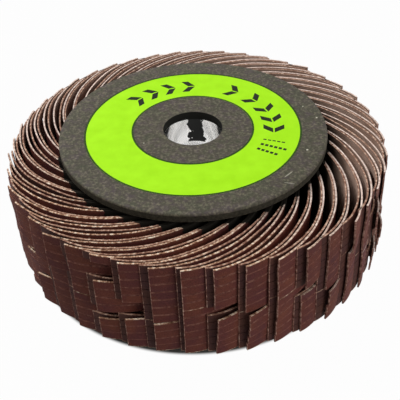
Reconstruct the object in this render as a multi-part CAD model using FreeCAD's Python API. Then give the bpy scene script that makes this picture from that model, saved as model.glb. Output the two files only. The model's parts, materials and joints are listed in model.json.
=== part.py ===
import FreeCAD, Part
import math
import os

from FreeCAD import Vector

# Abrasive flap wheel with a plain bore. It lies flat on its rear flange.
# Frame: millimetres, +Z along the bore from the rear face to the labelled front face.
# The origin is on the bore axis, in the plane of the rear face.

# Driving dimensions of the whole wheel
WHEEL_DIAMETER = 254.0
FLAP_WIDTH = 70.0
BORE_DIAMETER = 40.0

# Flanges: round fibre plates bonded to the two ends of the core
FLANGE_DIAMETER = 180.0
FLANGE_THICKNESS = 6.0
FLANGE_EDGE_CHAMFER = 1.0

# Core: cast resin that holds the flap roots, with a steel sleeve down its middle
CORE_DIAMETER = 120.0
CORE_END_CAP = 3.0
SLEEVE_WALL = 2.0
SLEEVE_GLUE_LINE = 0.05

# Label: a paper ring in a shallow recess of the front flange
LABEL_OUTER_DIAMETER = 146.0
LABEL_INNER_DIAMETER = 80.4
LABEL_THICKNESS = 0.2
LABEL_SINK = 0.05
LABEL_EDGE_GAP = 0.15

# Flaps: coated cloth, two plies to a slot, all bent over the same way
PAIR_COUNT = 44
CLOTH_THICKNESS = 1.0
PLY_GAP = 0.05
SLOT_FLOOR_RADIUS = 45.0
SLOT_CLEARANCE = 0.1
ROOT_SLANT = 14.0
BEND_LEAD = 1.5
BEND_RADIUS = 27.0
BEND_ANGLE = 53.0

# Tips: their angle to the wheel's round, and how far the two plies of a pair part there
TIP_LEAN = 13.5
PLY_SPREAD = 1.2

# Slits: the outer ply is cut from its tip into two bands that spring out by themselves
SLIT_LENGTH = 34.0
SLIT_WIDTH = 0.4
SLIT_ROW_COUNT = 11

# One entry for each pair in turn, then over again: how many slit rows the lower band
# takes, and how far the tips of the lower and of the upper band stand out of the sweep
BAND_CYCLE = (
    (6, -0.5, 1.9),
    (4, 2.8, 0.2),
    (7, 0.8, 2.9),
    (5, 0.3, 0.2),
    (8, 2.0, -0.5),
    (4, 2.6, 0.3),
    (4, 1.7, 0.6),
    (6, 0.3, 0.5),
    (5, 3.4, 0.6),
    (5, 3.6, 0.3),
    (6, 1.4, 1.7),
)

# The cloth's curves are made of flat facets, this many to each stretch
BEND_FACETS = 3
SWEEP_FACETS = 2
TIP_FACETS = 3

# Sizes that follow from those above
WHEEL_RADIUS = WHEEL_DIAMETER / 2
BORE_RADIUS = BORE_DIAMETER / 2
FLANGE_RADIUS = FLANGE_DIAMETER / 2
CORE_RADIUS = CORE_DIAMETER / 2
SLEEVE_OUTER_RADIUS = BORE_RADIUS + SLEEVE_WALL
LABEL_RECESS = LABEL_THICKNESS + LABEL_SINK
CORE_BOTTOM = FLANGE_THICKNESS
FLAP_BOTTOM = CORE_BOTTOM + CORE_END_CAP
FLAP_TOP = FLAP_BOTTOM + FLAP_WIDTH
CORE_TOP = FLAP_TOP + CORE_END_CAP
WHEEL_TOP = CORE_TOP + FLANGE_THICKNESS
SLOT_PITCH = 360.0 / PAIR_COUNT
SLOT_WIDTH = 2 * CLOTH_THICKNESS + PLY_GAP + 2 * SLOT_CLEARANCE
SLIT_ROW_HEIGHT = FLAP_WIDTH / SLIT_ROW_COUNT
NEAR_FACE = PLY_GAP / 2
FAR_FACE = NEAR_FACE + CLOTH_THICKNESS

AXIS = Vector(0, 0, 1)
ORIGIN = Vector(0, 0, 0)


def ring(inner_radius, outer_radius, bottom, height):
    """A plain ring about the bore axis."""
    outer = Part.makeCylinder(outer_radius, height, Vector(0, 0, bottom))
    inner = Part.makeCylinder(inner_radius, height, Vector(0, 0, bottom))
    return outer.cut(inner)


def flange(inner_face, outer_face):
    """A fibre plate turned about the bore, with the rim of its outer face chamfered."""
    outward = math.copysign(1, outer_face - inner_face)
    section = Part.makePolygon([
        Vector(BORE_RADIUS, 0, inner_face),
        Vector(BORE_RADIUS, 0, outer_face),
        Vector(FLANGE_RADIUS - FLANGE_EDGE_CHAMFER, 0, outer_face),
        Vector(FLANGE_RADIUS, 0, outer_face - outward * FLANGE_EDGE_CHAMFER),
        Vector(FLANGE_RADIUS, 0, inner_face),
        Vector(BORE_RADIUS, 0, inner_face),
    ])
    return Part.Face(section).revolve(ORIGIN, AXIS, 360)


def front_flange():
    """The flange on the seen side, with the recess that the label lies in."""
    recess = ring(
        LABEL_INNER_DIAMETER / 2 - LABEL_EDGE_GAP,
        LABEL_OUTER_DIAMETER / 2 + LABEL_EDGE_GAP,
        WHEEL_TOP - LABEL_RECESS,
        LABEL_RECESS,
    )
    return flange(CORE_TOP, WHEEL_TOP).cut(recess)


def rear_flange():
    """The flange that the wheel lies on, plain and flat."""
    return flange(CORE_BOTTOM, 0.0)


def front_label():
    """The paper ring on the floor of the front flange's recess."""
    return ring(
        LABEL_INNER_DIAMETER / 2,
        LABEL_OUTER_DIAMETER / 2,
        WHEEL_TOP - LABEL_RECESS,
        LABEL_THICKNESS,
    )


def bore_sleeve():
    """The steel tube that lines the bore between the flanges."""
    return ring(BORE_RADIUS, SLEEVE_OUTER_RADIUS, CORE_BOTTOM, CORE_TOP - CORE_BOTTOM)


def heading_vector(heading):
    """Unit vector along a heading, in degrees anticlockwise from +X."""
    return Vector(math.cos(math.radians(heading)), math.sin(math.radians(heading)), 0)


def left_of(heading):
    """Unit vector to the left of a heading."""
    return heading_vector(heading + 90)


def root_stations():
    """Where a pair on +X starts at its slot's floor, and where it leaves the core.

    A station is a point on the line where the two plies meet, and the heading there.
    """
    heading = -ROOT_SLANT
    along = heading_vector(heading)
    start = Vector(SLOT_FLOOR_RADIUS + SLOT_CLEARANCE, 0, 0)
    lever = start.dot(along)
    reach = CORE_RADIUS + BEND_LEAD
    length = -lever + math.sqrt(lever ** 2 + reach ** 2 - start.Length ** 2)
    return [(start, heading), (start + along * length, heading)]


def arc_stations(station, radius, turn, facets):
    """Stations along an arc that turns right, one at the end of each flat facet."""
    point, heading = station
    centre = point - left_of(heading) * radius
    headings = [heading - turn * step / facets for step in range(1, facets + 1)]
    return [(centre + left_of(each) * radius, each) for each in headings]


def bend_stations():
    """The root and the bend over the edge of the core, which all the plies share."""
    stations = root_stations()
    return stations + arc_stations(stations[-1], BEND_RADIUS, BEND_ANGLE, BEND_FACETS)


def sweep_radius():
    """Radius of the sweep that meets the wheel's round at the tips' lean."""
    point, heading = bend_stations()[-1]
    reach = WHEEL_RADIUS - FAR_FACE
    height = reach * math.cos(math.radians(TIP_LEAN)) - point.dot(left_of(heading))
    return (reach ** 2 - point.Length ** 2) / (2 * height)


def sweep_length():
    """Length of cloth from the bend to the wheel's round, along the outer ply."""
    point, heading = bend_stations()[-1]
    radius = sweep_radius()
    centre = point - left_of(heading) * radius
    reach = WHEEL_RADIUS - FAR_FACE
    lean = math.radians(TIP_LEAN)
    swing = math.atan2(radius * math.sin(lean), reach - radius * math.cos(lean))
    tip_angle = math.atan2(centre.y, centre.x) + swing
    tip_heading = math.degrees(tip_angle) - 90 + TIP_LEAN
    return radius * math.radians(heading - tip_heading)


def sprung(radius, stand_off, length):
    """Radius of an arc of this length whose end stands that far off the given one's."""
    return 1 / (1 / radius - 2 * stand_off / length ** 2)


def tip_lead():
    """How far the inner ply runs past the outer one.

    Both are cut to one length, and the inner one takes the shorter way round.
    """
    turn = math.radians(BEND_ANGLE) + sweep_length() / sweep_radius()
    return (CLOTH_THICKNESS + PLY_GAP) * turn


def swept(stations, length, radius, facets):
    """Stations carried on along an arc of a given length."""
    turn = math.degrees(length / radius)
    return stations + arc_stations(stations[-1], radius, turn, facets)


def cloth(stations, first_side, second_side, bottom, height):
    """A strip of cloth along its stations, between two distances to their left."""
    side = [point + left_of(heading) * first_side for point, heading in stations]
    back = [point + left_of(heading) * second_side for point, heading in stations]
    outline = side + back[::-1] + side[:1]
    strip = Part.Face(Part.makePolygon(outline)).extrude(AXIS * height)
    strip.translate(AXIS * bottom)
    return strip


def ply_body(sweep):
    """Stations of a ply as far as its slit would start."""
    return swept(bend_stations(), sweep_length() - SLIT_LENGTH, sweep, SWEEP_FACETS)


def inner_ply():
    """The whole flap on the inside of the bend."""
    sweep = sprung(sweep_radius(), -PLY_SPREAD, sweep_length())
    stations = swept(ply_body(sweep), SLIT_LENGTH + tip_lead(), sweep, TIP_FACETS)
    return cloth(stations, -FAR_FACE, -NEAR_FACE, FLAP_BOTTOM, FLAP_WIDTH)


def outer_ply(lower_rows, lower_stand_off, upper_stand_off):
    """The flap on the outside of the bend, slit into a lower and an upper band."""
    body_stations = ply_body(sweep_radius())
    body = cloth(body_stations, NEAR_FACE, FAR_FACE, FLAP_BOTTOM, FLAP_WIDTH)
    slit_start = body_stations[-1:]
    lower_height = lower_rows * SLIT_ROW_HEIGHT - SLIT_WIDTH / 2
    upper_height = FLAP_WIDTH - lower_height - SLIT_WIDTH
    bands = []
    for stand_off, bottom, height in (
        (lower_stand_off, FLAP_BOTTOM, lower_height),
        (upper_stand_off, FLAP_TOP - upper_height, upper_height),
    ):
        sweep = sprung(sweep_radius(), stand_off, SLIT_LENGTH)
        stations = swept(slit_start, SLIT_LENGTH, sweep, TIP_FACETS)
        bands.append(cloth(stations, NEAR_FACE, FAR_FACE, bottom, height))
    return body.fuse(bands).removeSplitter()


def flap_pair(index):
    """The two plies of one slot, which touch at the root and part towards the tip."""
    lower_rows, lower_stand_off, upper_stand_off = BAND_CYCLE[index % len(BAND_CYCLE)]
    plies = outer_ply(lower_rows, lower_stand_off, upper_stand_off).Solids + inner_ply().Solids
    pair = Part.Compound(plies)
    pair.rotate(ORIGIN, AXIS, index * SLOT_PITCH)
    return pair


def root_pocket(index):
    """The space in the core that one pair's roots stand in."""
    (start, heading), (end, _) = root_stations()
    floor = start - heading_vector(heading) * SLOT_CLEARANCE
    pocket = cloth(
        [(floor, heading), (end, heading)],
        -SLOT_WIDTH / 2,
        SLOT_WIDTH / 2,
        FLAP_BOTTOM - SLOT_CLEARANCE,
        FLAP_WIDTH + 2 * SLOT_CLEARANCE,
    )
    pocket.rotate(ORIGIN, AXIS, index * SLOT_PITCH)
    return pocket


def resin_core():
    """The cast ring between the flanges, with a pocket for each pair of flaps."""
    body = ring(
        SLEEVE_OUTER_RADIUS + SLEEVE_GLUE_LINE,
        CORE_RADIUS,
        CORE_BOTTOM,
        CORE_TOP - CORE_BOTTOM,
    )
    return body.cut([root_pocket(index) for index in range(PAIR_COUNT)])


def build():
    """Every piece of the wheel by its name."""
    pieces = {
        "front_flange": front_flange(),
        "rear_flange": rear_flange(),
        "front_label": front_label(),
        "bore_sleeve": bore_sleeve(),
        "resin_core": resin_core(),
    }
    for index in range(PAIR_COUNT):
        pieces[f"flap_pair_{index + 1:02d}"] = flap_pair(index)
    return pieces


os.makedirs("parts", exist_ok=True)
for name, shape in build().items():
    shape.exportStep(f"parts/{name}.step")
    print(f"{name}: {len(shape.Solids)} solids, {shape.Volume / 1000:.1f} cm3")
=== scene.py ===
# %% [markdown]
# A flap wheel is a ring of abrasive cloth flaps, set two to a slot in a cast core and
# clamped between two fibre plates. The construction model already holds every piece at its
# true size. This notebook loads it as a fixed frame and builds the looks around it: slit
# and frayed cloth, pressed fibre, a printed label and a bright steel sleeve.

# %% Load the frame
import json
import math
import random

import bpy
from mathutils import Matrix, Vector


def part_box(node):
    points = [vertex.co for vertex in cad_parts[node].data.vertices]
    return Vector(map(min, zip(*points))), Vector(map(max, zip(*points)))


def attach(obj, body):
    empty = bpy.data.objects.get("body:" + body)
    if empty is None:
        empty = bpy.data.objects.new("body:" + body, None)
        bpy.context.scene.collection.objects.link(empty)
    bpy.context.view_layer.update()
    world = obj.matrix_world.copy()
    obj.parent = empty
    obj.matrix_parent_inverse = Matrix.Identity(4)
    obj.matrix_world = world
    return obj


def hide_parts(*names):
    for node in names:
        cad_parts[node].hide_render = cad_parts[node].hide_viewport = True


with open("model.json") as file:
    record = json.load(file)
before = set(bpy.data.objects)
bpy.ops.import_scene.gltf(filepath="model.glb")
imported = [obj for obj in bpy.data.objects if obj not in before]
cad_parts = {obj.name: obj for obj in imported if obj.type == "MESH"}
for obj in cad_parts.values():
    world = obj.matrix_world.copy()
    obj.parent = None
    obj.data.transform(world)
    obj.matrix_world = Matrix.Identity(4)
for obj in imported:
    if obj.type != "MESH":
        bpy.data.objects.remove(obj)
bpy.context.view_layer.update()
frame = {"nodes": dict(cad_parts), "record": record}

MM = 0.001
print("frame:", len(frame["nodes"]), "pieces")

# %% [markdown]
# Nothing here is measured twice. The plates, the label, the sleeve and the flaps' height
# are read from the frame, so the dressed pieces always sit where the real ones do. Only
# the label's hole and the bend of the cloth are written out, because a box can't tell them.

# %% Read the sizes that the frame knows
flange_low, flange_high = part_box("front_flange")
rear_low, rear_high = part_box("rear_flange")
label_low, label_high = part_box("front_label")
sleeve_low, sleeve_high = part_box("bore_sleeve")
core_low, core_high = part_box("resin_core")
flap_low, flap_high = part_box("flap_pair_01")
bore = next(mount for mount in frame["record"]["mounts"] if mount["name"] == "bore")

BORE_RADIUS = bore["dims"]["r_mm"] * MM
FLANGE_RADIUS = flange_high.x
CORE_RADIUS = core_high.x
LABEL_OUTER_RADIUS = label_high.x
LABEL_INNER_RADIUS = 40.2 * MM
LABEL_EDGE_GAP = 0.15 * MM
PAIR_COUNT = sum(name.startswith("flap_pair_") for name in frame["nodes"])
print(f"flange {FLANGE_RADIUS / MM:.1f} mm, label {LABEL_OUTER_RADIUS / MM:.1f} mm")

# %% [markdown]
# The photographer stood in front of the wheel and looked down on it by about a third of a
# right angle. The label is two true circles of known size, so their ellipses in the
# picture give the camera's height, distance and focal length with little guessing. The
# picture's centre lies below the label, which is the pitch, and the wheel leans a little
# in it, which is the roll.

# %% Place the camera
PICTURE_SIDE = 400
FOCAL_PIXELS = 740.84
SENSOR_WIDTH = 36.0
CAMERA_ELEVATION = math.radians(33.785)
CAMERA_DISTANCE = 502.14 * MM
CAMERA_YAW = 0.0054
CAMERA_PITCH = -0.0973
CAMERA_ROLL = 0.0442


def place_camera():
    """A camera on the label's middle, turned by yaw, then pitch, then roll."""
    forward = Vector((0, math.cos(CAMERA_ELEVATION), -math.sin(CAMERA_ELEVATION)))
    up = Vector((0, math.sin(CAMERA_ELEVATION), math.cos(CAMERA_ELEVATION)))
    right = Vector((1, 0, 0))
    label_centre = Vector((0, 0, flange_high.z))
    side = right * math.cos(CAMERA_YAW) - forward * math.sin(CAMERA_YAW)
    aim = right * math.sin(CAMERA_YAW) + forward * math.cos(CAMERA_YAW)
    top = up * math.cos(CAMERA_PITCH) - aim * math.sin(CAMERA_PITCH)
    aim = up * math.sin(CAMERA_PITCH) + aim * math.cos(CAMERA_PITCH)
    rolled_side = side * math.cos(CAMERA_ROLL) - top * math.sin(CAMERA_ROLL)
    rolled_top = side * math.sin(CAMERA_ROLL) + top * math.cos(CAMERA_ROLL)
    lens = bpy.data.cameras.new("studio_camera")
    lens.sensor_width = SENSOR_WIDTH
    lens.lens = FOCAL_PIXELS / PICTURE_SIDE * SENSOR_WIDTH
    camera = bpy.data.objects.new("studio_camera", lens)
    bpy.context.scene.collection.objects.link(camera)
    turn = Matrix((rolled_side, rolled_top, -aim)).transposed().to_4x4()
    camera.matrix_world = Matrix.Translation(label_centre - forward * CAMERA_DISTANCE) @ turn
    bpy.context.scene.camera = camera
    return camera


camera = place_camera()
print("lens", round(camera.data.lens, 1), "mm")

# %% [markdown]
# Colours are written as they would be picked from a screen. Blender works in linear
# light, so one function turns them. Every finish is built from shader nodes, and one small
# function adds a node with its settings and its inputs, whether they are numbers or links.

# %% Helpers for colours and nodes
def linear(code):
    """A linear colour from an sRGB hex code."""
    parts = [int(code[i:i + 2], 16) / 255 for i in (1, 3, 5)]
    curve = [c / 12.92 if c <= 0.04045 else ((c + 0.055) / 1.055) ** 2.4 for c in parts]
    return (*curve, 1.0)


def add_node(owner, kind, inputs=None, stops=(), **settings):
    """Add a node to a material or world: its settings, a ramp's stops, and its inputs."""
    tree = owner.node_tree
    node = tree.nodes.new(kind)
    for name, value in settings.items():
        setattr(node, name, value)
    for place, (position, code) in enumerate(stops):
        elements = node.color_ramp.elements
        element = elements[place] if place < len(elements) else elements.new(position)
        element.position = position
        element.color = linear(code)
    for socket, value in (inputs or {}).items():
        if isinstance(value, bpy.types.NodeSocket):
            tree.links.new(value, node.inputs[socket])
        else:
            node.inputs[socket].default_value = value
    return node


def new_finish(name, roughness, ior=1.5, metallic=0.0, gloss=0.5):
    """A node material, its principled shader with the constants, and a point's place."""
    material = bpy.data.materials.new(name)
    material.use_nodes = True
    shader = material.node_tree.nodes["Principled BSDF"]
    shader.inputs["Roughness"].default_value = roughness
    shader.inputs["IOR"].default_value = ior
    shader.inputs["Metallic"].default_value = metallic
    shader.inputs["Specular IOR Level"].default_value = gloss
    place = add_node(material, "ShaderNodeTexCoord").outputs["Object"]
    return material, shader, place


def feed(material, shader, colour, height=None, depth=0.0):
    """Link a colour to a shader and, where given, a height as bump of a real depth."""
    links = material.node_tree.links
    links.new(colour, shader.inputs["Base Color"])
    if height is not None:
        bump = add_node(material, "ShaderNodeBump", {"Distance": depth, "Height": height})
        links.new(bump.outputs[0], shader.inputs["Normal"])
    return material


print("colour and node helpers ready")

# %% [markdown]
# Most pieces here are worked out corner by corner, so one function turns lists of corners
# and faces into an object. It shades them smooth and keeps edges sharp past an angle.

# %% Helper for meshes
SHARP_ANGLE = math.radians(30)


def make_piece(name, vertices, faces, materials, face_materials=None):
    """A mesh object of the wheel, smooth apart from its sharp edges."""
    mesh = bpy.data.meshes.new(name)
    mesh.from_pydata(vertices, [], faces)
    for material in materials:
        mesh.materials.append(material)
    if face_materials is not None:
        mesh.polygons.foreach_set("material_index", face_materials)
    mesh.polygons.foreach_set("use_smooth", [True] * len(mesh.polygons))
    mesh.set_sharp_from_angle(angle=SHARP_ANGLE)
    mesh.update()
    piece = bpy.data.objects.new(name, mesh)
    bpy.context.scene.collection.objects.link(piece)
    return piece


print("mesh helper ready")

# %% [markdown]
# The picture has a white ground, but the wheel isn't lit like a thing in a white room: the
# plates' faces are three times as bright as their rims, and a dark band lies under the
# front plate. A white sky would wash that out. So the sky is white only where the camera or
# a reflection sees it, and gives the object a much weaker, even light.

# %% Build the sky
WHITE = (1.0, 1.0, 1.0, 1.0)
SKY_LIGHT = 0.22


def seen_directly(owner):
    """One for camera, glossy and transmission rays, and nought for the rest."""
    path = add_node(owner, "ShaderNodeLightPath")
    either = path.outputs["Is Camera Ray"]
    for ray in ("Is Glossy Ray", "Is Transmission Ray"):
        both = {0: either, 1: path.outputs[ray]}
        either = add_node(owner, "ShaderNodeMath", both, operation="MAXIMUM").outputs[0]
    return either


def build_sky():
    """White where it is seen, and a soft even light elsewhere."""
    world = bpy.data.worlds.new("studio_sky")
    world.use_nodes = True
    world.node_tree.nodes.clear()
    shown = add_node(world, "ShaderNodeBackground", {"Color": WHITE, "Strength": 1.0})
    lit = add_node(world, "ShaderNodeBackground", {"Color": WHITE, "Strength": SKY_LIGHT})
    either = {0: seen_directly(world), 1: lit.outputs[0], 2: shown.outputs[0]}
    mixed = add_node(world, "ShaderNodeMixShader", either)
    add_node(world, "ShaderNodeOutputWorld", {"Surface": mixed.outputs[0]})
    bpy.context.scene.world = world


build_sky()
print("sky light", SKY_LIGHT)

# %% [markdown]
# The wheel lies on a pale board that burns out to white in the picture, right up to a dark
# line of shade under the flaps. A truly white board would throw its light back up into
# them. So this one is grey, and most of its white is added for the camera only. A ring of it
# under the wheel gets no such white and keeps its shade, while the board stays white
# outside the flaps and in the bore.

# %% Lay the floor
FLOOR_SIDE = 6.0
FLOOR_WHITENING = 0.98
SHADE_MIDDLE = 72.0 * MM
SHADE_HALF = 47.5 * MM
SHADE_SOFTNESS = 3.0 * MM


def off_shade_ring(material, place):
    """Nought on the ring that stays in the shade, and the board's whitening off it."""
    away = add_node(material, "ShaderNodeVectorMath", {0: place}, operation="LENGTH")
    aside = {0: away.outputs["Value"], 1: SHADE_MIDDLE}
    past = add_node(material, "ShaderNodeMath", aside, operation="SUBTRACT")
    off_ring = add_node(material, "ShaderNodeMath", {0: past.outputs[0]}, operation="ABSOLUTE")
    whitened = add_node(
        material,
        "ShaderNodeMapRange",
        {
            "Value": off_ring.outputs[0],
            "From Min": SHADE_HALF,
            "From Max": SHADE_HALF + SHADE_SOFTNESS,
            "To Max": FLOOR_WHITENING,
        },
        interpolation_type="SMOOTHSTEP",
    )
    return whitened.outputs[0]


def build_floor():
    """A pale painted board, white to the eye but for the shade under the flaps."""
    material, shader, place = new_finish("pale_board_painted", roughness=0.9, gloss=0.0)
    shader.inputs["Base Color"].default_value = linear("#7c7a76")
    glow = add_node(material, "ShaderNodeEmission", {"Color": WHITE, "Strength": 1.0})
    both = {0: seen_directly(material), 1: off_shade_ring(material, place)}
    share = add_node(material, "ShaderNodeMath", both, operation="MULTIPLY")
    either = {0: share.outputs[0], 1: shader.outputs[0], 2: glow.outputs[0]}
    mixed = add_node(material, "ShaderNodeMixShader", either)
    output = material.node_tree.nodes["Material Output"]
    material.node_tree.links.new(mixed.outputs[0], output.inputs["Surface"])
    half = FLOOR_SIDE / 2
    corners = [(-half, -half, 0), (half, -half, 0), (half, half, 0), (-half, half, 0)]
    make_piece("studio_floor", corners, [(0, 1, 2, 3)], [material])


build_floor()
print("floor", FLOOR_SIDE, "m square")

# %% [markdown]
# Two large soft lamps do most of the work. The key lamp hangs high over the wheel, on the
# left and a little behind, and lights the plates and the tops of the flaps. A weaker one
# stands lower, in front on the right, and opens the flaps' coated sides.

# %% Hang the lamps
LAMP_SIDE = 0.8
KEY_PLACE = Vector((-0.6, 0.24, 1.1))
KEY_POWER = 11.9
FRONT_PLACE = Vector((0.95, -0.8, 0.55))
FRONT_POWER = 6.6


def add_lamp(name, place, power):
    """A square soft lamp that faces the middle of the wheel."""
    lamp = bpy.data.lights.new(name, "AREA")
    lamp.size = LAMP_SIDE
    lamp.energy = power
    holder = bpy.data.objects.new(name, lamp)
    bpy.context.scene.collection.objects.link(holder)
    holder.location = place
    aim = Vector((0, 0, flange_high.z / 2)) - holder.location
    holder.rotation_mode = "QUATERNION"
    holder.rotation_quaternion = aim.to_track_quat("-Z", "Y")


add_lamp("key_lamp", KEY_PLACE, KEY_POWER)
add_lamp("front_lamp", FRONT_PLACE, FRONT_POWER)
bpy.context.scene.view_settings.view_transform = "Standard"
print("lamps:", KEY_POWER, "and", FRONT_POWER, "watts")

# %% [markdown]
# The plates are vulcanised fibre: paper pulp, pressed hard and dyed through. It is dull
# and dark grey-brown, mottled with short fibres of slightly different hue. Two noises make
# it: one at fibre length gives the light and dark, and a coarser one shifts the hue. The
# fibres themselves are finer than a pixel, so they are drawn about two millimetres long.
# The walls that a tool has cut are coloured darker as painted shade, and in the bore they are painted
# black as shade.
#
# Handling has left four pale flecks and two faint scuffs on the front plate. Each one is an
# ellipse in a small frame of its own, given by its radius and angle about the bore, its
# half length and half width, the turn of its length, and how strong it is.

# %% Make the fibre finish
FIBRE_LENGTH = 1.9 * MM
HUE_PATCH = 6.0 * MM
FIBRE_RELIEF = 0.08 * MM
SCUFFS = (
    (84.8, 4, 0.55, 0.55, 0, 1.0),
    (80.0, 15, 0.4, 0.4, 0, 1.0),
    (79.2, -23, 0.65, 0.65, 0, 1.0),
    (36.0, 205, 0.4, 0.4, 0, 1.0),
    (80.3, -44, 3.9, 0.45, 45, 0.4),
    (86.2, -48.5, 3.4, 0.4, -17, 0.3),
)
# A Mix node has sockets for every kind of value, and these are the places of its colours
MIX_SHARE, MIX_FIRST, MIX_SECOND, MIX_COLOUR = 0, 6, 7, 2


def mottled(material, place, size, stops, detail=3.0, roughness=0.5):
    """The colours of a ramp, laid out by a noise of this size, and the noise itself."""
    shape = {"Vector": place, "Scale": 1 / size, "Detail": detail, "Roughness": roughness}
    noise = add_node(material, "ShaderNodeTexNoise", shape).outputs["Fac"]
    ramp = add_node(material, "ShaderNodeValToRGB", {"Fac": noise}, stops=stops)
    return ramp.outputs[0], noise


def off_axis(material, place):
    """How far a place lies from the bore's axis."""
    axis_only = {0: place, 1: (1.0, 1.0, 0.0)}
    flat = add_node(material, "ShaderNodeVectorMath", axis_only, operation="MULTIPLY")
    ends = {0: flat.outputs["Vector"]}
    away = add_node(material, "ShaderNodeVectorMath", ends, operation="LENGTH")
    return away.outputs["Value"]


def with_scuffs(material, place, colour):
    """The colour, rubbed pale at each scuff's place on the front plate."""
    for radius, degrees, half_length, half_width, turn, strength in SCUFFS:
        x = radius * MM * math.cos(math.radians(degrees))
        y = radius * MM * math.sin(math.radians(degrees))
        own_frame = add_node(
            material,
            "ShaderNodeMapping",
            {
                "Vector": place,
                "Location": (x, y, flange_high.z),
                "Rotation": (0.0, 0.0, math.radians(turn)),
                "Scale": (half_length * MM, half_width * MM, half_width * MM),
            },
            vector_type="TEXTURE",
        )
        ends = {0: own_frame.outputs[0]}
        away = add_node(material, "ShaderNodeVectorMath", ends, operation="LENGTH")
        within = {0: away.outputs["Value"], 1: 1.0}
        near = add_node(material, "ShaderNodeMath", within, operation="LESS_THAN")
        faint = {0: near.outputs[0], 1: strength}
        share = add_node(material, "ShaderNodeMath", faint, operation="MULTIPLY")
        rubbed = {MIX_SHARE: share.outputs[0], MIX_FIRST: colour, MIX_SECOND: linear("#d9d4c2")}
        colour = add_node(material, "ShaderNodeMix", rubbed, data_type="RGBA").outputs[MIX_COLOUR]
    return colour


def fibre_finish():
    """Vulcanised fibre, pressed and dyed through: dull, mottled and a little uneven."""
    material, shader, place = new_finish("vulcanised_fibre_pressed", roughness=0.62, gloss=0.2)
    tones = [(0.3, "#1e1c16"), (0.5, "#464236"), (0.67, "#827c67")]
    brightness, fibres = mottled(material, place, FIBRE_LENGTH, tones, roughness=0.65)
    hues = [(0.36, "#4b4e3d"), (0.5, "#514c41"), (0.64, "#574b4f")]
    hue, _ = mottled(material, place, HUE_PATCH, hues, detail=4.0, roughness=0.7)
    halves = {MIX_SHARE: 0.5, MIX_FIRST: brightness, MIX_SECOND: hue}
    board = add_node(material, "ShaderNodeMix", halves, data_type="RGBA").outputs[MIX_COLOUR]
    return feed(material, shader, with_scuffs(material, place, board), fibres, FIBRE_RELIEF)


def cut_fibre_finish():
    """The stamped edge of the fibre board: dull, coloured dark as painted shade, and painted black as
    shade in the bore.
    """
    material, shader, place = new_finish("vulcanised_fibre_stamped_painted_shade", roughness=0.7, gloss=0.15)
    # The walls are coloured darker than the plate's faces, as painted shade
    tones = [(0.3, "#24221c"), (0.7, "#413e34")]
    colour, layers = mottled(material, place, FIBRE_LENGTH, tones, roughness=0.6)
    # In the bore the wall is painted black, as shade
    bored = {0: off_axis(material, place), 1: FLANGE_RADIUS / 2}
    near = add_node(material, "ShaderNodeMath", bored, operation="LESS_THAN").outputs[0]
    either = {MIX_SHARE: near, MIX_FIRST: colour, MIX_SECOND: linear("#12110d")}
    with_bore_shade_painted = add_node(material, "ShaderNodeMix", either, data_type="RGBA").outputs[MIX_COLOUR]
    return feed(material, shader, with_bore_shade_painted, layers, FIBRE_RELIEF)


fibre, cut_fibre = fibre_finish(), cut_fibre_finish()
print("finishes:", fibre.name, cut_fibre.name)

# %% [markdown]
# The plates, the label and the sleeve are all bodies of revolution: stamped, cut or drawn
# round. A section turned about the bore gives each of them in one go. Where a tool has
# broken an edge, the section has a small quarter round.

# %% Turn a section about the bore
TURN_STEPS = 288
SAME_PLACE = 0.001 * MM


def turned(name, section, finish, wall_finish=None):
    """A closed ring from a section of (radius, height) corners, in order.

    A wall finish, where given, goes on the upright stretches of the section.
    """
    count = len(section)
    finishes = [finish] if wall_finish is None else [finish, wall_finish]
    turns = [abs(section[k][0] - section[(k + 1) % count][0]) for k in range(count)]
    kinds = [len(finishes) - 1 if turn < SAME_PLACE else 0 for turn in turns]
    angles = [math.tau * step / TURN_STEPS for step in range(TURN_STEPS)]
    vertices = [(r * math.cos(a), r * math.sin(a), z) for a in angles for r, z in section]
    faces = []
    for step in range(TURN_STEPS):
        here = step * count
        beyond = (step + 1) % TURN_STEPS * count
        for corner in range(count):
            after = (corner + 1) % count
            faces.append((here + corner, beyond + corner, beyond + after, here + after))
    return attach(make_piece(name, vertices, faces, finishes, kinds * TURN_STEPS), "root")


def rounded(corner, before, after, radius, steps=5):
    """Points of a quarter round in place of a right-angled corner of a section."""
    corner, before, after = (Vector(point) for point in (corner, before, after))
    to_before = (before - corner).normalized() * radius
    to_after = (after - corner).normalized() * radius
    centre = corner + to_before + to_after
    turns = [math.pi / 2 * step / steps for step in range(steps + 1)]
    return [tuple(centre - to_after * math.cos(t) - to_before * math.sin(t)) for t in turns]


print("a turned piece has", TURN_STEPS, "steps")

# %% [markdown]
# Each plate was stamped from fibre board and its outer rim rubbed round. The front one
# has a shallow seat that the label lies in. They replace the plain plates of the frame,
# within the same outline.

# %% Turn the plates
RIM_ROUND = 1.5 * MM
BACK_ROUND = 0.5 * MM


def front_plate():
    """The labelled plate, with the label's seat."""
    low, high, seat = flange_low.z, flange_high.z, label_low.z
    seat_outer = LABEL_OUTER_RADIUS + LABEL_EDGE_GAP
    seat_inner = LABEL_INNER_RADIUS - LABEL_EDGE_GAP
    top_rim, bottom_rim = (FLANGE_RADIUS, high), (FLANGE_RADIUS, low)
    section = [(BORE_RADIUS, low), *rounded(bottom_rim, (0, low), top_rim, BACK_ROUND)]
    section += rounded(top_rim, bottom_rim, (0, high), RIM_ROUND)
    section += [(seat_outer, high), (seat_outer, seat), (seat_inner, seat), (seat_inner, high)]
    section += [(BORE_RADIUS, high)]
    plate = turned("front_flange_board", section, fibre, cut_fibre)
    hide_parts("front_flange")


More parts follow.
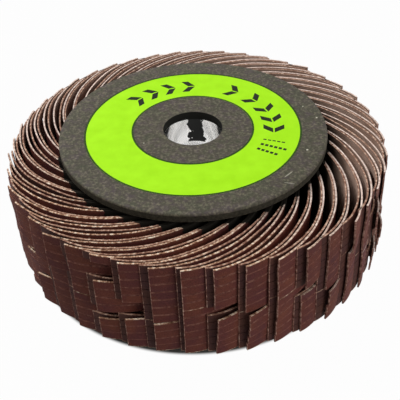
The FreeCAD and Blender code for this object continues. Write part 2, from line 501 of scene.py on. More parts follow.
def rear_plate():
    """The plate that the wheel lies on."""
    low, high = rear_low.z, rear_high.z
    top_rim, bottom_rim = (FLANGE_RADIUS, high), (FLANGE_RADIUS, low)
    section = [(BORE_RADIUS, low), *rounded(bottom_rim, (0, low), top_rim, RIM_ROUND)]
    section += [*rounded(top_rim, bottom_rim, (0, high), BACK_ROUND), (BORE_RADIUS, high)]
    plate = turned("rear_flange_board", section, fibre, cut_fibre)
    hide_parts("rear_flange")


front_plate()
rear_plate()
print("plates turned")

# %% [markdown]
# The label is printed paper, coated on the front. The ink lies flat on it and has a dull
# sheen. Its bright yellow-green was laid on whole, so only a very slight cloudiness keeps
# it from looking like plastic. A thin dark line round both rims is painted shade along
# the label's edges.

# %% Make the label
PAPER_CLOUD = 9.0 * MM
INK_GRAIN = 1.0 * MM
RIM_SHADE_LINE = 1.15 * MM
INK_HEIGHT = 0.02 * MM
label_base, label_top = label_low.z, label_high.z


def paper_finish():
    """Coated paper, printed all over in one colour: even, matt and slightly cloudy."""
    material, shader, place = new_finish("coated_paper_printed", roughness=0.6, gloss=0.15)
    greens = [(0.3, "#a8ee12"), (0.7, "#b2f81e")]
    colour, _ = mottled(material, place, PAPER_CLOUD, greens, detail=5.0)
    return feed(material, shader, colour)


def ink_finish(name, pale_code, dark_code):
    """Printing ink, rolled on in one layer: matt, with a faint grain where it is thin."""
    material, shader, place = new_finish(name, roughness=0.6, gloss=0.15)
    tones = [(0.4, dark_code), (0.75, pale_code)]
    colour, _ = mottled(material, place, INK_GRAIN, tones, detail=2.0)
    return feed(material, shader, colour)


def turned_band(name, inner, outer, low, high, finish):
    """A flat-sided ring between two radii and two heights."""
    return turned(name, [(inner, low), (outer, low), (outer, high), (inner, high)], finish)


def lay_label():
    """The paper ring and the two dark lines of painted shade along its rims."""
    inner, outer = LABEL_INNER_RADIUS, LABEL_OUTER_RADIUS
    label = turned_band("front_label_paper", inner, outer, label_base, label_top, paper_finish())
    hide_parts("front_label")
    # The dark lines round both rims are painted shade along the label's edges
    edge_shade_ink = ink_finish("dark_green_painted_edge_shade", "#3c6010", "#203a08")
    for name, start in (("label_outer_line", outer - RIM_SHADE_LINE), ("label_inner_line", inner)):
        turned_band(name, start, start + RIM_SHADE_LINE, label_top, label_top + INK_HEIGHT, edge_shade_ink)


lay_label()
print("label", round((LABEL_OUTER_RADIUS - LABEL_INNER_RADIUS) / MM, 1), "mm broad")

# %% [markdown]
# A flap wheel may only run one way, with the flaps trailing, so the label shows the way.
# Here it is plain black arrowheads in two groups on the upper arc, each cut like a stencil
# into two strokes that don't meet. Three rows of dashes sit at the right. All of them are
# thin raised pieces of ink on the paper.

# %% Print the marks
MARK_RADIUS = 54.5 * MM
MARK_HEIGHT = 14.0 * MM
MARK_WIDTH = 9.5 * MM
STROKE = 4.9 * MM
STENCIL_GAP = 1.0 * MM
MARK_ANGLES = (135, 121, 107, 92, 57, 38, 22, 8, -5)
# Each row of dashes: its angle about the bore, its width and its number of dashes
DASH_ROWS = ((-20, 1.2 * MM, 5), (-26.5, 2.2 * MM, 6), (-33, 2.2 * MM, 5))
DASH_START = -5.5 * MM
DASH_LENGTH = 2.1 * MM
DASH_SPACING = 3.1 * MM


def stroke_prism(outline, angle, vertices, faces):
    """Add a flat piece of ink; its outline is (along the arc, outward) about a mark."""
    outward = Vector((math.cos(angle), math.sin(angle), 0))
    along = Vector((math.sin(angle), -math.cos(angle), 0))
    start, count = len(vertices), len(outline)
    for z in (label_top, label_top + INK_HEIGHT):
        for u, v in outline:
            point = outward * (MARK_RADIUS + v) + along * u
            vertices.append((point.x, point.y, z))
    faces.append(tuple(start + k for k in range(count)))
    faces.append(tuple(start + count + k for k in reversed(range(count))))
    for k in range(count):
        after = (k + 1) % count
        faces.append((start + after, start + k, start + count + k, start + count + after))


def arrow_strokes():
    """The two slanted strokes of an arrowhead that points along +u, apart at its nose."""
    nose, half = MARK_WIDTH / 2, MARK_HEIGHT / 2
    strokes = []
    for side in (1, -1):
        inner = side * STENCIL_GAP / 2
        corners = [
            (nose - STROKE, inner),
            (-nose, side * half),
            (-nose + STROKE, side * half),
            (nose, inner),
        ]
        strokes.append(corners[::side])
    return strokes


def print_marks():
    """All the ink of the label's face in one piece."""
    black_ink = ink_finish("black_ink_printed", "#1c2a0c", "#0b1205")
    vertices, faces = [], []
    for degrees in MARK_ANGLES:
        for outline in arrow_strokes():
            stroke_prism(outline, math.radians(degrees), vertices, faces)
    for degrees, width, count in DASH_ROWS:
        left, right = -width / 2, width / 2
        for place in range(count):
            below = DASH_START + place * DASH_SPACING
            above = below + DASH_LENGTH
            outline = [(left, below), (left, above), (right, above), (right, below)]
            stroke_prism(outline, math.radians(degrees), vertices, faces)
    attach(make_piece("label_marks", vertices, faces, [black_ink]), "root")
    return len(MARK_ANGLES)


print("arrowheads printed:", print_marks())

# %% [markdown]
# The bore is lined with a drawn steel tube. Drawing leaves it bright, with faint lines
# along its length. It is a metal, so its colour is its reflection, and it hands the white
# of the room below up the tube. At the back a black, dull band with a ragged edge is
# painted down the wall as a dark reflection. Its place is an angle about the bore and a
# height where it stops, and a noise moves the edge to and fro.

# %% Make the sleeve
DRAW_LINE = 0.9 * MM
DRAW_STRETCH = 0.04
STEEL_ROUGHNESS = 0.15
DARK_BAND_ROUGHNESS = 0.6
DARK_BAND_ANGLE = math.radians(82)
DARK_BAND_HALF_WIDTH = math.radians(14)
DARK_BAND_RAGGED = math.radians(40)
DARK_BAND_STEP = 5.0 * MM
DARK_BAND_FOOT = 63.5 * MM


def painted_dark_band(material, place):
    """One where the painted dark band covers the steel, and nought elsewhere."""
    step = {"Vector": place, "Scale": 1 / DARK_BAND_STEP, "Detail": 3.0}
    ragged = add_node(material, "ShaderNodeTexNoise", step).outputs["Fac"]
    axes = add_node(material, "ShaderNodeSeparateXYZ", {0: place})
    across = {0: axes.outputs["Y"], 1: axes.outputs["X"]}
    angle = add_node(material, "ShaderNodeMath", across, operation="ARCTAN2").outputs[0]
    aside = {0: angle, 1: DARK_BAND_ANGLE}
    off = add_node(material, "ShaderNodeMath", aside, operation="SUBTRACT").outputs[0]
    shift = {0: ragged, 1: DARK_BAND_RAGGED, 2: off}
    moved = add_node(material, "ShaderNodeMath", shift, operation="MULTIPLY_ADD").outputs[0]
    halved = {0: moved, 1: DARK_BAND_RAGGED / 2}
    centred = add_node(material, "ShaderNodeMath", halved, operation="SUBTRACT").outputs[0]
    away = add_node(material, "ShaderNodeMath", {0: centred}, operation="ABSOLUTE").outputs[0]
    sides = {0: away, 1: DARK_BAND_HALF_WIDTH}
    within = add_node(material, "ShaderNodeMath", sides, operation="LESS_THAN").outputs[0]
    foot = {0: axes.outputs["Z"], 1: DARK_BAND_FOOT}
    above = add_node(material, "ShaderNodeMath", foot, operation="GREATER_THAN").outputs[0]
    both = {0: within, 1: above}
    return add_node(material, "ShaderNodeMath", both, operation="MULTIPLY").outputs[0]


def steel_finish():
    """Cold-drawn steel, bright from the die: a soft mirror with lines along the bore, and a painted
    dark reflection at the back.
    """
    material, shader, place = new_finish(
        "steel_cold_drawn", roughness=STEEL_ROUGHNESS, metallic=1.0
    )
    # The dark band is a painted dark reflection at the back of the bore
    band_share = painted_dark_band(material, place)
    drawn_out = {"Vector": place, "Scale": (1.0, 1.0, DRAW_STRETCH)}
    stretched = add_node(material, "ShaderNodeMapping", drawn_out).outputs[0]
    tones = [(0.35, "#f8f7f5"), (0.65, "#ffffff")]
    colour, _ = mottled(material, stretched, DRAW_LINE, tones)
    either = {MIX_SHARE: band_share, MIX_FIRST: colour, MIX_SECOND: linear("#0a0a07")}
    with_painted_dark = add_node(material, "ShaderNodeMix", either, data_type="RGBA").outputs[MIX_COLOUR]
    uncovered = {0: 1.0, 1: band_share}
    bare = add_node(material, "ShaderNodeMath", uncovered, operation="SUBTRACT").outputs[0]
    material.node_tree.links.new(bare, shader.inputs["Metallic"])
    duller = {0: band_share, 1: DARK_BAND_ROUGHNESS - STEEL_ROUGHNESS, 2: STEEL_ROUGHNESS}
    dull = add_node(material, "ShaderNodeMath", duller, operation="MULTIPLY_ADD").outputs[0]
    material.node_tree.links.new(dull, shader.inputs["Roughness"])
    return feed(material, shader, with_painted_dark)


sleeve = turned_band(
    "bore_sleeve_tube", BORE_RADIUS, sleeve_high.x, sleeve_low.z, sleeve_high.z, steel_finish()
)
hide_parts("bore_sleeve")
print("sleeve", round((sleeve_high.z - sleeve_low.z) / MM), "mm long")

# %% [markdown]
# The core is cast resin, filled with chalk: dark, slightly glossy and full of small
# bubbles where it meets the mould. It shows only in the dark between the flaps' roots, so
# the frame's own solid stays and gets a better finish.

# %% Finish the core
BUBBLE_SPACING = 2.5 * MM
BUBBLE_DEPTH = 0.3 * MM


def resin_finish():
    """Filled epoxy resin, cast: dark amber, half glossy, pitted by bubbles."""
    material, shader, place = new_finish("filled_resin_cast", roughness=0.45, ior=1.55)
    cells = {"Vector": place, "Scale": 1 / BUBBLE_SPACING}
    bubbles = add_node(material, "ShaderNodeTexVoronoi", cells).outputs["Distance"]
    ambers = [(0.05, "#241a12"), (0.3, "#4a3524"), (0.8, "#5b4430")]
    colour = add_node(material, "ShaderNodeValToRGB", {"Fac": bubbles}, stops=ambers).outputs[0]
    return feed(material, shader, colour, bubbles, BUBBLE_DEPTH)


core = frame["nodes"]["resin_core"]
core.data.materials.clear()
core.data.materials.append(resin_finish())
print("core finished")

# %% [markdown]
# Where the flaps pass under the plates they lie in the plates' shade, and that shade is
# painted into the cloth: every flap is coloured black from its root to a ragged line a
# little outside the plates. On the coated side that line is sharp. On the bare back the
# painted shade fades out over a longer way. One function does both: it makes the line's
# radius wander with a noise, and divides the depth inside it by the length of the fade.

# %% Paint the shade near the roots
ROOT_SHADE_REACH = 92.0 * MM
ROOT_SHADE_FADE = 0.4 * MM
ROOT_SHADE_RAGGED = 9.0 * MM
ROOT_SHADE_PATCH = 7.0 * MM


def with_painted_root_shade(material, place, colour, reach=ROOT_SHADE_REACH, fade=ROOT_SHADE_FADE):
    """The colour, painted black as shade from the root out to a ragged line."""
    patch = {"Vector": place, "Scale": 1 / ROOT_SHADE_PATCH, "Detail": 3.0}
    shade_edge_noise = add_node(material, "ShaderNodeTexNoise", patch).outputs["Fac"]
    wander = {0: shade_edge_noise, 1: ROOT_SHADE_RAGGED, 2: reach - ROOT_SHADE_RAGGED / 2}
    edge = add_node(material, "ShaderNodeMath", wander, operation="MULTIPLY_ADD").outputs[0]
    inward = {0: edge, 1: off_axis(material, place)}
    depth = add_node(material, "ShaderNodeMath", inward, operation="SUBTRACT").outputs[0]
    faded = {0: depth, 1: 1 / fade}
    inside = add_node(material, "ShaderNodeMath", faded, operation="MULTIPLY", use_clamp=True)
    either = {MIX_SHARE: inside.outputs[0], MIX_FIRST: colour, MIX_SECOND: linear("#1f1c17")}
    return add_node(material, "ShaderNodeMix", either, data_type="RGBA").outputs[MIX_COLOUR]


# The painted shade near the roots reaches this far from the axis
print("painted root shade reaches", round(ROOT_SHADE_REACH / MM), "mm from the axis")

# %% [markdown]
# The flaps are cotton cloth, coated on one side with brown abrasive grain in resin. The
# coated side is a dark red-brown, dull and very finely rough. Real grains here are about
# 0.05 mm, far below a pixel, so they are drawn at half a millimetre. Slow changes of hue
# across a flap come from the resin, and each pair is a little darker or lighter than the
# next one, by the random number that Blender gives every object. The inner ply of a pair
# has the same grain, coloured darker as painted shade.

# %% Make the coated side
GRAIN_SIZE = 0.5 * MM
GRAIN_RELIEF = 0.1 * MM
RESIN_PATCH = 16.0 * MM
PAIR_SHADES = (0.86, 1.12)


def with_pair_shade(material, colour):
    """The colour, a little darker or lighter from one pair of flaps to the next."""
    chance = add_node(material, "ShaderNodeObjectInfo").outputs["Random"]
    low, high = PAIR_SHADES
    spread = {0: chance, 1: high - low, 2: low}
    shade = add_node(material, "ShaderNodeMath", spread, operation="MULTIPLY_ADD").outputs[0]
    dimmed = {0: colour, "Scale": shade}
    return add_node(material, "ShaderNodeVectorMath", dimmed, operation="SCALE").outputs["Vector"]


def grain_finish(name, resin_hues):
    """Aluminium oxide grain, resin-bonded: dull red-brown with a fine sparkle."""
    material, shader, place = new_finish(name, roughness=0.72, gloss=0.15)
    sparkle = [(0.3, "#a2a2a2"), (0.5, "#d2d2d2"), (0.7, "#ffffff")]
    speckle, grains = mottled(material, place, GRAIN_SIZE, sparkle, detail=2.0, roughness=0.6)
    hues = zip((0.35, 0.5, 0.65), resin_hues)
    hue, _ = mottled(material, place, RESIN_PATCH, hues, detail=2.0)
    layers = {MIX_SHARE: 1.0, MIX_FIRST: hue, MIX_SECOND: speckle}
    coat = add_node(material, "ShaderNodeMix", layers, data_type="RGBA", blend_type="MULTIPLY")
    shaded = with_pair_shade(material, coat.outputs[MIX_COLOUR])
    # The coat is painted black near the root, as shade under the plates
    with_painted_dark = with_painted_root_shade(material, place, shaded)
    return feed(material, shader, with_painted_dark, grains, GRAIN_RELIEF)


grain = grain_finish("brown_oxide_grain_bonded", ("#6e3c3b", "#774139", "#834a3b"))
# The inner ply's grain is coloured darker, as painted shade
inner_grain_painted_shade = grain_finish("brown_oxide_grain_painted_shade", ("#5a3836", "#5e3b35", "#654036"))
print("finishes:", grain.name, "and", inner_grain_painted_shade.name)

# %% [markdown]
# The back of the cloth is bare twill, dyed tan and stiffened with glue. The threads of such
# a drill cloth are about half a millimetre apart, too fine to show, so they are drawn at
# about one. Only those that run from root to tip catch the light, and a wave along the
# wheel's axis is enough for them.

# %% Make the back of the cloth
THREAD_SPACING = 1.1 * MM
THREAD_RELIEF = 0.1 * MM
# A wave texture at scale 1 has this many bands in a unit of length
WAVE_BANDS = 20 / math.tau
# How far the painted shade on the back reaches, and how long it takes to fade
BACK_SHADE_REACH = 108.0 * MM
BACK_SHADE_FADE = 16.0 * MM


def backing_finish():
    """Cotton twill, dyed and sized: tan, dull, with threads from root to tip."""
    material, shader, place = new_finish("cotton_twill_woven", roughness=0.85, gloss=0.1)
    tans = [(0.35, "#cba58f"), (0.65, "#e6c6b2")]
    dye, _ = mottled(material, place, RESIN_PATCH, tans, detail=4.0)
    weave = {
        "Vector": place,
        "Scale": 1 / WAVE_BANDS / THREAD_SPACING,
        "Distortion": 2.0,
        "Detail": 1.0,
        "Detail Scale": 2.0,
    }
    wave = add_node(material, "ShaderNodeTexWave", weave, bands_direction="Z")
    threads = wave.outputs["Fac"]
    tones = [(0.2, "#b4b4b4"), (0.8, "#ffffff")]
    shade = add_node(material, "ShaderNodeValToRGB", {"Fac": threads}, stops=tones).outputs[0]
    layers = {MIX_SHARE: 1.0, MIX_FIRST: dye, MIX_SECOND: shade}
    woven = add_node(material, "ShaderNodeMix", layers, data_type="RGBA", blend_type="MULTIPLY")
    tan = woven.outputs[MIX_COLOUR]
    # The back is painted dark near the root, as shade between the flaps, fading out over a long way
    back_with_painted_shade = with_painted_root_shade(material, place, tan, BACK_SHADE_REACH, BACK_SHADE_FADE)
    return feed(material, shader, back_with_painted_shade, threads, THREAD_RELIEF)


backing = backing_finish()
print("finish:", backing.name)

# %% [markdown]
# The cut edge is where the cloth shows its white heart, and what has rubbed it decides how
# it looks. Toward the front left the ends of the outer plies are frayed, with stained and
# pale tufts, and on the far side they are cut clean, so that finish goes from one to the
# other across the wheel. The tips are rubbed flat and soiled by the grain, and the inner
# plies' edges are matted. The lips of the slits have lost some grain and are coloured paler
# as a painted highlight. Three functions make these four, and a strip of cloth picks among
# them face by face.

# %% Make the cut edges
TUFT_LENGTH = 2.2 * MM
TUFT_RELIEF = 0.2 * MM
FRAYED_TOWARD = (-0.45, -0.9, 0.0)
CLEAN_UNTIL = 30.0 * MM
FRAYED_FROM = 90.0 * MM


def cut_edge_finish():
    """Cut cotton ends: pale and clean, or fluffy and stained where they have frayed."""
    material, shader, place = new_finish("cotton_cut_frayed", roughness=0.9, gloss=0.1)
    stains = [(0.37, "#664333"), (0.51, "#c2987c"), (0.62, "#fce8d0")]
    frayed, tufts = mottled(material, place, TUFT_LENGTH, stains, detail=4.0, roughness=0.7)
    creams = [(0.32, "#b39080"), (0.58, "#fae5d9")]
    clean = add_node(material, "ShaderNodeValToRGB", {"Fac": tufts}, stops=creams).outputs[0]
    toward = {0: place, 1: FRAYED_TOWARD}
    across = add_node(material, "ShaderNodeVectorMath", toward, operation="DOT_PRODUCT")
    reach = {"Value": across.outputs["Value"], "From Min": CLEAN_UNTIL, "From Max": FRAYED_FROM}
    share = add_node(material, "ShaderNodeMapRange", reach).outputs[0]
    either = {MIX_SHARE: share, MIX_FIRST: clean, MIX_SECOND: frayed}
    worn = add_node(material, "ShaderNodeMix", either, data_type="RGBA").outputs[MIX_COLOUR]
    # The cut edges are painted black near the root, as shade under the plates
    with_painted_dark = with_painted_root_shade(material, place, with_pair_shade(material, worn))
    return feed(material, shader, with_painted_dark, tufts, TUFT_RELIEF)


def soiled_edge_finish(name, cotton_hues):
    """Cotton ends rubbed flat and soiled by the grain beside them."""
    material, shader, place = new_finish(name, roughness=0.85, gloss=0.1)
    hues = zip((0.36, 0.52, 0.66), cotton_hues)
    colour, _ = mottled(material, place, TUFT_LENGTH, hues, roughness=0.6)
    # These edges are painted black near the root, as shade under the plates
    return feed(material, shader, with_painted_root_shade(material, place, colour))


def slit_edge_finish():
    """The lips of a slit: grain lost along a hair's breadth, and coloured paler as a painted
    highlight.
    """
    material, shader, place = new_finish("brown_oxide_grain_worn_painted_highlight", roughness=0.8, gloss=0.15)
    # The paler lips are partly lost grain and partly a painted highlight along the slits
    hues = [(0.38, "#6d423b"), (0.52, "#88574c"), (0.68, "#a87868")]
    colour, _ = mottled(material, place, TUFT_LENGTH, hues, roughness=0.6)
    return feed(material, shader, colour)


CLOTH_FINISHES = [
    grain,
    inner_grain_painted_shade,
    backing,
    cut_edge_finish(),
    slit_edge_finish(),
    soiled_edge_finish("cotton_cut_soiled", ("#6e473e", "#a97d6f", "#dbb6a4")),
    soiled_edge_finish("cotton_cut_matted", ("#7a5446", "#b08873", "#e6c9b2")),
]
GRAIN, INNER_SHADED_GRAIN, BACKING, CUT_EDGE, SLIT_EDGE, TIP_EDGE, SOILED_EDGE = range(len(CLOTH_FINISHES))
print("cloth finishes:", len(CLOTH_FINISHES))

# %% [markdown]
# A flap stands in the core on a slant, bends over its rim and then sweeps round to the
# wheel's edge. So its path is a straight run and two arcs that turn right, tangent to each
# other. A station on the path holds a point, the heading there and the length so far. The
# sizes are the construction's own, and only the arcs are divided more finely.

# %% Lay out the path of a flap
SLOT_FLOOR_RADIUS = 45.1 * MM
ROOT_SLANT = math.radians(14.0)
BEND_LEAD = 1.5 * MM
BEND_RADIUS = 27.0 * MM
BEND_ANGLE = math.radians(53.0)
TIP_LEAN = math.radians(13.5)
CLOTH_THICKNESS = 1.0 * MM
PLY_GAP = 0.05 * MM
WHEEL_RADIUS = 127.0 * MM
NEAR_FACE = PLY_GAP / 2
FAR_FACE = NEAR_FACE + CLOTH_THICKNESS
BEND_STEPS = 8


def carried_on(stations, radius, length, steps):
    """The stations, and more along an arc that turns right."""
    x, y, heading, run = stations[-1]
    centre_x = x + radius * math.sin(heading)
    centre_y = y - radius * math.cos(heading)
    made = list(stations)
    for step in range(1, steps + 1):
        part = length * step / steps
        now = heading - part / radius
        point_x = centre_x - radius * math.sin(now)
        point_y = centre_y + radius * math.cos(now)
        made.append((point_x, point_y, now, run + part))
    return made


def bend_stations():
    """The root and the bend over the core's rim, which both plies share."""
    along_x, along_y = math.cos(ROOT_SLANT), -math.sin(ROOT_SLANT)
    lever = SLOT_FLOOR_RADIUS * along_x
    reach = CORE_RADIUS + BEND_LEAD
    length = math.sqrt(lever ** 2 + reach ** 2 - SLOT_FLOOR_RADIUS ** 2) - lever
    root = (SLOT_FLOOR_RADIUS, 0.0, -ROOT_SLANT, 0.0)
    rim = (SLOT_FLOOR_RADIUS + along_x * length, along_y * length, -ROOT_SLANT, length)
    return carried_on([root, rim], BEND_RADIUS, BEND_RADIUS * BEND_ANGLE, BEND_STEPS)


def sweep_of_flap():
    """Radius, length and tip's angle of the sweep that meets the round at the tips' lean."""
    x, y, heading, _ = bend_stations()[-1]
    reach = WHEEL_RADIUS - FAR_FACE
    height = reach * math.cos(TIP_LEAN) + x * math.sin(heading) - y * math.cos(heading)
    radius = (reach ** 2 - x ** 2 - y ** 2) / (2 * height)
    centre_x = x + radius * math.sin(heading)
    centre_y = y - radius * math.cos(heading)
    swing = math.atan2(radius * math.sin(TIP_LEAN), reach - radius * math.cos(TIP_LEAN))
    tip_angle = math.atan2(centre_y, centre_x) + swing
    tip_heading = tip_angle - math.pi / 2 + TIP_LEAN
    return radius, radius * (heading - tip_heading), tip_angle


SWEEP_RADIUS, SWEEP_LENGTH, TIP_ANGLE = sweep_of_flap()
BEND_END = bend_stations()[-1][3]
FLAP_LENGTH = BEND_END + SWEEP_LENGTH
print(f"the sweep is {SWEEP_LENGTH / MM:.1f} mm long, at a radius of {SWEEP_RADIUS / MM:.1f} mm")
print(f"a flap is {(flap_high.z - flap_low.z) / MM:.0f} x {FLAP_LENGTH / MM:.0f} mm flat")

# %% [markdown]
# One class gathers the cloth of a flap pair, strip by strip. A strip is a closed thin
# shell: it carries a row of levels along the path, once on the coated face and once on the
# back. Its outermost levels are lips, a hair's breadth wide, and so is the last stretch at
# the tip, and these take the finish of a cut, slit or soiled edge. The cloth isn't flat: a
# wave pushes each point along the cloth's own normal, and a bulge, widest in the middle of
# the sweep, lets an inner ply sag away from the outer one.

# %% Make a strip of cloth
EDGE_LIP = 0.35 * MM
TIP_LIP = 0.35 * MM


class Cloth:
    """Corners, faces and finishes of one flap pair, gathered strip by strip."""

    def __init__(self, wave):
        self.wave = wave
        self.bulge = 0.0
        self.coat = GRAIN
        self.edge = CUT_EDGE
        self.vertices = []
        self.faces = []
        self.finishes = []

    def pushed(self, run, z):
        """How far the cloth stands off its path there, to the left."""
        share = min(1.0, max(0.0, (run - BEND_END) / SWEEP_LENGTH))
        return self.wave(run, z) - self.bulge * math.sin(math.pi * share) ** 2

    def add_face(self, corners, finish):
        """One face, and which of the cloth's finishes it takes."""
        self.faces.append(corners)
        self.finishes.append(finish)

    def add_strip(self, stations, back, front, levels, lip_finishes, frayed_tip):
        """Add a shell between two offsets to the left of the path, through the levels."""
        rows = len(levels)
        start = len(self.vertices)
        for x, y, heading, run in stations:
            left_x, left_y = -math.sin(heading), math.cos(heading)
            for offset, order in ((front, levels), (back, levels[::-1])):
                for z in order:
                    push = offset + self.pushed(run, z)
                    self.vertices.append((x + left_x * push, y + left_y * push, z))
        loop = 2 * rows
        low_lip, high_lip = lip_finishes
        kinds = [self.coat] * (rows - 1) + [high_lip] + [BACKING] * (rows - 1) + [low_lip]
        kinds[0], kinds[rows - 2] = lip_finishes
        for step in range(len(stations) - 1):
            here, beyond = start + step * loop, start + (step + 1) * loop
            at_tip = frayed_tip and step == len(stations) - 2
            for k in range(loop):
                after = (k + 1) % loop
                finish = TIP_EDGE if at_tip and k < rows - 1 else kinds[k]
                self.add_face((here + k, here + after, beyond + after, beyond + k), finish)
        last = start + (len(stations) - 1) * loop
        for k in range(rows - 1):
            back_k = loop - 1 - k
            root_end = (start + k, start + back_k, start + back_k - 1, start + k + 1)
            tip_end = (last + k, last + k + 1, last + back_k - 1, last + back_k)
            self.add_face(root_end, self.edge)
            self.add_face(tip_end, TIP_EDGE)


def with_tip_lip(stations):
    """The stations with one more, a lip's width before the last."""
    (x0, y0, h0, s0), (x1, y1, h1, s1) = stations[-2:]
    t = 1 - TIP_LIP / (s1 - s0)
    lip = (x0 + (x1 - x0) * t, y0 + (y1 - y0) * t, h0 + (h1 - h0) * t, s0 + (s1 - s0) * t)
    return [*stations[:-1], lip, stations[-1]]


print("lips are", EDGE_LIP / MM, "mm and", TIP_LIP / MM, "mm")

# %% [markdown]
# This wheel has been handled and used, and its flaps no longer stand alike. At the front
# right they are splayed out, the lower edge more than the upper one, with their ends curled
# back in. At the back left they were pressed in, and their blocks lie calmer. So how a
# flap bends follows from where its tip stands on the wheel, and on top of that every pair
# has slow waves of its own. Bend and curl grow with powers of the way along the sweep: a
# low one bends the whole flap, and a high one turns only its last stretch.

# %% Bend the flaps
FLARE_ALL = 1.4 * MM
FLARE_SIDE = 7.0 * MM
FLARE_ANGLE = math.radians(-28)
FLARE_SPLAY = 0.4
TUCK_BACK = 2.8 * MM
TUCK_ANGLE = math.radians(145)
CALM_BACK = 0.7
TIP_CURL = 1.7 * MM
CURL_OF_FLARE = 0.47
BEND_POWER, CURL_POWER = 2, 8
WAVE_HEIGHT = 0.3 * MM
WAVE_LENGTH = 38.0 * MM
SLANT_WAVE_LENGTH = 1.7 * WAVE_LENGTH
ACROSS_SHARE, ALONG_SHARE, SLANT_SHARE = 0.5, 0.5, 0.6
WAVE_RISE = 1.5
flap_bottom, flap_top = flap_low.z, flap_high.z


def facing(index, angle):
    """One for a pair whose tips stand at that angle, and nought from a right angle off it."""
    tip_angle = TIP_ANGLE + math.tau * index / PAIR_COUNT
    return max(0.0, math.cos(tip_angle - angle)) ** 2


def pair_flare(index):
    """How far a pair's tips are pushed outward, by its place on the wheel."""
    return FLARE_ALL + FLARE_SIDE * facing(index, FLARE_ANGLE) - TUCK_BACK * facing(index, TUCK_ANGLE)


def pair_calm(index):
    """The share of a pair's sprung offsets that is left where the tips were tucked in."""
    return 1 - CALM_BACK * facing(index, TUCK_ANGLE)


def pair_wave(chance, flare):
    """A smooth push along the cloth's normal, shared by the two plies of a pair."""
    phases = [chance.uniform(0, math.tau) for _ in range(3)]

    def push(run, z):
        along_sweep = max(0.0, (run - BEND_END) / SWEEP_LENGTH)
        splay = 1 + FLARE_SPLAY * (0.5 - (z - flap_bottom) / (flap_top - flap_bottom))
        across = math.sin(math.tau * z / WAVE_LENGTH + phases[0])
        along = math.sin(math.tau * run / WAVE_LENGTH + phases[1])
        slant = math.sin(math.tau * (run + z) / SLANT_WAVE_LENGTH + phases[2])
        wave = WAVE_HEIGHT * (ACROSS_SHARE * across + ALONG_SHARE * along + SLANT_SHARE * slant)
        spread = flare * splay
        curl = TIP_CURL + CURL_OF_FLARE * max(0.0, spread - FLARE_ALL)
        bent = spread * along_sweep ** BEND_POWER - curl * along_sweep ** CURL_POWER
        return bent + wave * min(1.0, along_sweep * WAVE_RISE)

    return push


flares = [pair_flare(index) / MM for index in range(PAIR_COUNT)]
print(f"the tips are pushed out by {min(flares):.1f} to {max(flares):.1f} mm")

# %% [markdown]
# The outer cloth of each pair is slit from its tip into eleven narrow fingers, which in use
# break away one after another and bare fresh grain. So a ply is one whole strip as far as
# the slits, and from there a strip for each finger. A finger's lips show grain where its
# neighbour lies beside it, and bare cotton where the neighbour is torn off or lies deeper.

# %% Slit a ply into fingers
SLIT_LENGTH = 34.0 * MM
SLIT_WIDTH = 0.4 * MM
ROW_COUNT = 11
ROW_HEIGHT = (flap_top - flap_bottom) / ROW_COUNT
SWEEP_STEPS, TIP_STEPS = 14, 14


def sprung(radius, stand_off, length):
    """Radius of an arc of this length whose end stands that far off the given one's."""
    return 1 / (1 / radius - 2 * stand_off / length ** 2)


def add_ply(cloth, sweep, back, front, row_sweeps, row_lengths, ledges):
    """A ply: the whole cloth as far as the slits, then its fingers."""
    body = carried_on(bend_stations(), sweep, SWEEP_LENGTH - SLIT_LENGTH, SWEEP_STEPS)
    inner_levels = [flap_bottom + ROW_HEIGHT * row for row in range(1, ROW_COUNT)]
    levels = [flap_bottom, flap_bottom + EDGE_LIP, *inner_levels, flap_top - EDGE_LIP, flap_top]
    cloth.add_strip(body, back, front, levels, (cloth.edge, cloth.edge), False)
    slit = SLIT_EDGE if cloth.coat == GRAIN else cloth.coat
    for row, (row_sweep, length) in enumerate(zip(row_sweeps, row_lengths)):
        top_row = row == ROW_COUNT - 1
        low = flap_bottom + ROW_HEIGHT * row + (SLIT_WIDTH / 2 if row else 0.0)
        high = flap_bottom + ROW_HEIGHT * (row + 1) - (0.0 if top_row else SLIT_WIDTH / 2)
        finger_levels = [low, low + EDGE_LIP, high - EDGE_LIP, high]
        bare = top_row or row in ledges
        lips = (slit if row else cloth.edge, cloth.edge if bare else slit)
        finger = with_tip_lip(carried_on(body[-1:], row_sweep, length, TIP_STEPS))
        cloth.add_strip(finger, back, front, finger_levels, lips, True)
    return body


print(f"a finger is {ROW_HEIGHT / MM:.1f} mm broad and {SLIT_LENGTH / MM:.0f} mm long")

# %% [markdown]
# Cut cotton never has a clean edge: short loose ends stand up along the top of each ply
# and catch the light. Each is a thin four-sided spike, sunk a little into the cloth, with a
# lean and a length drawn at random from the pair's own seed.

# %% Add loose threads
THREAD_COUNT = 70
THREAD_LENGTH = 1.2 * MM
SHORTEST_THREAD = 0.4
THREAD_WIDTH = 0.2 * MM
# Threads start from this station, past the root, and stop just short of the last one
THREAD_START, THREAD_STOP = 2, 1.001
LEAN_ACROSS, LEAN_ALONG, LEAN_UP = 1, 1.5, 0.7


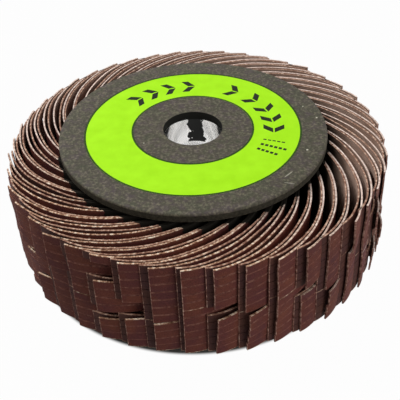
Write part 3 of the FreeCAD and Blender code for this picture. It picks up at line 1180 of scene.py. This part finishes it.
def add_threads(cloth, stations, back, front, chance):
    """Loose cotton ends along the top edge of a ply."""
    for _ in range(THREAD_COUNT):
        place = chance.uniform(THREAD_START, len(stations) - THREAD_STOP)
        first = int(place)
        share = place - first
        x, y, heading, run = (
            a + (b - a) * share for a, b in zip(stations[first], stations[first + 1])
        )
        left = Vector((-math.sin(heading), math.cos(heading), 0))
        along = Vector((math.cos(heading), math.sin(heading), 0))
        middle = chance.uniform(back, front)
        root = Vector((x, y, flap_top)) + left * (middle + cloth.pushed(run, flap_top))
        lean = left * chance.uniform(-LEAN_ACROSS, LEAN_ACROSS)
        lean += along * chance.uniform(-LEAN_ALONG, LEAN_ALONG) + Vector((0, 0, LEAN_UP))
        tip = root + lean.normalized() * THREAD_LENGTH * chance.uniform(SHORTEST_THREAD, 1.0)
        start = len(cloth.vertices)
        half = THREAD_WIDTH / 2
        sunk = root - Vector((0, 0, half))
        corners = [sunk + along * half, sunk + left * half, sunk - along * half, sunk - left * half]
        cloth.vertices.extend(tuple(corner) for corner in (*corners, tip))
        for k in range(4):
            cloth.add_face((start + k, start + (k + 1) % 4, start + 4), CUT_EDGE)
        cloth.add_face((start + 3, start + 2, start + 1, start), CUT_EDGE)


print("threads on a ply:", THREAD_COUNT)

# %% [markdown]
# Handling has sprung some fingers out in blocks, tucked others in and torn a few short.
# Each pair has a lower and an upper block with a sweep of its own, as in the construction,
# and each finger strays a little from its block. The lowest three spring out less than
# theirs. The inner cloth is slit the same way but lies quiet, bulged a little, and its tips
# come out somewhat before or behind their place. A pair is built at one place and turned
# to its slot.

# %% Make the flap pairs
# Each pair of the cycle: rows in the lower block, and how far each block springs out
BAND_CYCLE = (
    (6, -0.5, 1.9),
    (4, 2.8, 0.2),
    (7, 0.8, 2.9),
    (5, 0.3, 0.2),
    (8, 2.0, -0.5),
    (4, 2.6, 0.3),
    (4, 1.7, 0.6),
    (6, 0.3, 0.5),
    (5, 3.4, 0.6),
    (5, 3.6, 0.3),
    (6, 1.4, 1.7),
)
TORN_ROWS = {4: (9, 8, 3), 5: (5, 4), 8: (5,), 0: (5,)}
TORN_SHARE = 0.2
FOOT_SHARES = (0.3, 0.6, 0.85)
FINGER_STRAY = 0.25 * MM
PLY_SPREAD = 1.2 * MM
BULGE_MOST = 3.4 * MM
TIP_LEAD = (CLOTH_THICKNESS + PLY_GAP) * (BEND_ANGLE + SWEEP_LENGTH / SWEEP_RADIUS)
LEADS = (-1.5 * MM, 3.5 * MM)
FIRST_SEED = 1000


def block_offsets(kind):
    """How far each row of an outer ply springs out, in millimetres, before it strays."""
    lower_rows, lower_off, upper_off = BAND_CYCLE[kind]
    offsets = [lower_off] * lower_rows + [upper_off] * (ROW_COUNT - lower_rows)
    for row, share in enumerate(FOOT_SHARES):
        offsets[row] *= share
    return offsets


def flap_pair(index):
    """The two plies of one slot, turned to their place on the wheel."""
    chance = random.Random(FIRST_SEED + index)
    cloth = Cloth(pair_wave(chance, pair_flare(index)))
    kind = index % len(BAND_CYCLE)
    offsets = block_offsets(kind)
    strays = [chance.uniform(-1, 1) * FINGER_STRAY for _ in offsets]
    calm = pair_calm(index)
    outer_rows = [
        sprung(SWEEP_RADIUS, calm * (off * MM + stray), SLIT_LENGTH)
        for off, stray in zip(offsets, strays)
    ]
    inner_sweep = sprung(SWEEP_RADIUS, -PLY_SPREAD, SWEEP_LENGTH)
    inner_length = SLIT_LENGTH + TIP_LEAD + chance.uniform(*LEADS)
    torn = TORN_ROWS.get(kind, ())
    shares = [TORN_SHARE if row in torn else 1.0 for row in range(ROW_COUNT)]
    ledges = {BAND_CYCLE[kind][0] - 1, *(row - 1 for row in torn)}
    for sweep, back, front, row_sweeps, whole in (
        (SWEEP_RADIUS, NEAR_FACE, FAR_FACE, outer_rows, SLIT_LENGTH),
        (inner_sweep, -FAR_FACE, -NEAR_FACE, [inner_sweep] * ROW_COUNT, inner_length),
    ):
        inner = front < 0
        lengths = [whole * share for share in shares]
        cloth.bulge = BULGE_MOST * chance.random() ** 2 if inner else 0.0
        # The inner ply takes the darker grain of painted shade
        cloth.coat = INNER_SHADED_GRAIN if inner else GRAIN
        cloth.edge = SOILED_EDGE if inner else CUT_EDGE
        body = add_ply(cloth, sweep, back, front, row_sweeps, lengths, ledges)
        top_edge = carried_on(body, row_sweeps[-1], lengths[-1], TIP_STEPS)
        add_threads(cloth, top_edge, back, front, chance)
    name = f"flap_pair_{index + 1:02d}"
    piece = make_piece(f"{name}_cloth", cloth.vertices, cloth.faces, CLOTH_FINISHES, cloth.finishes)
    piece.data.transform(Matrix.Rotation(math.tau * index / PAIR_COUNT, 4, "Z"))
    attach(piece, "root")
    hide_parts(name)
    return len(piece.data.polygons)


face_counts = [flap_pair(index) for index in range(PAIR_COUNT)]
print("flap pairs:", len(face_counts), "with", sum(face_counts), "faces")
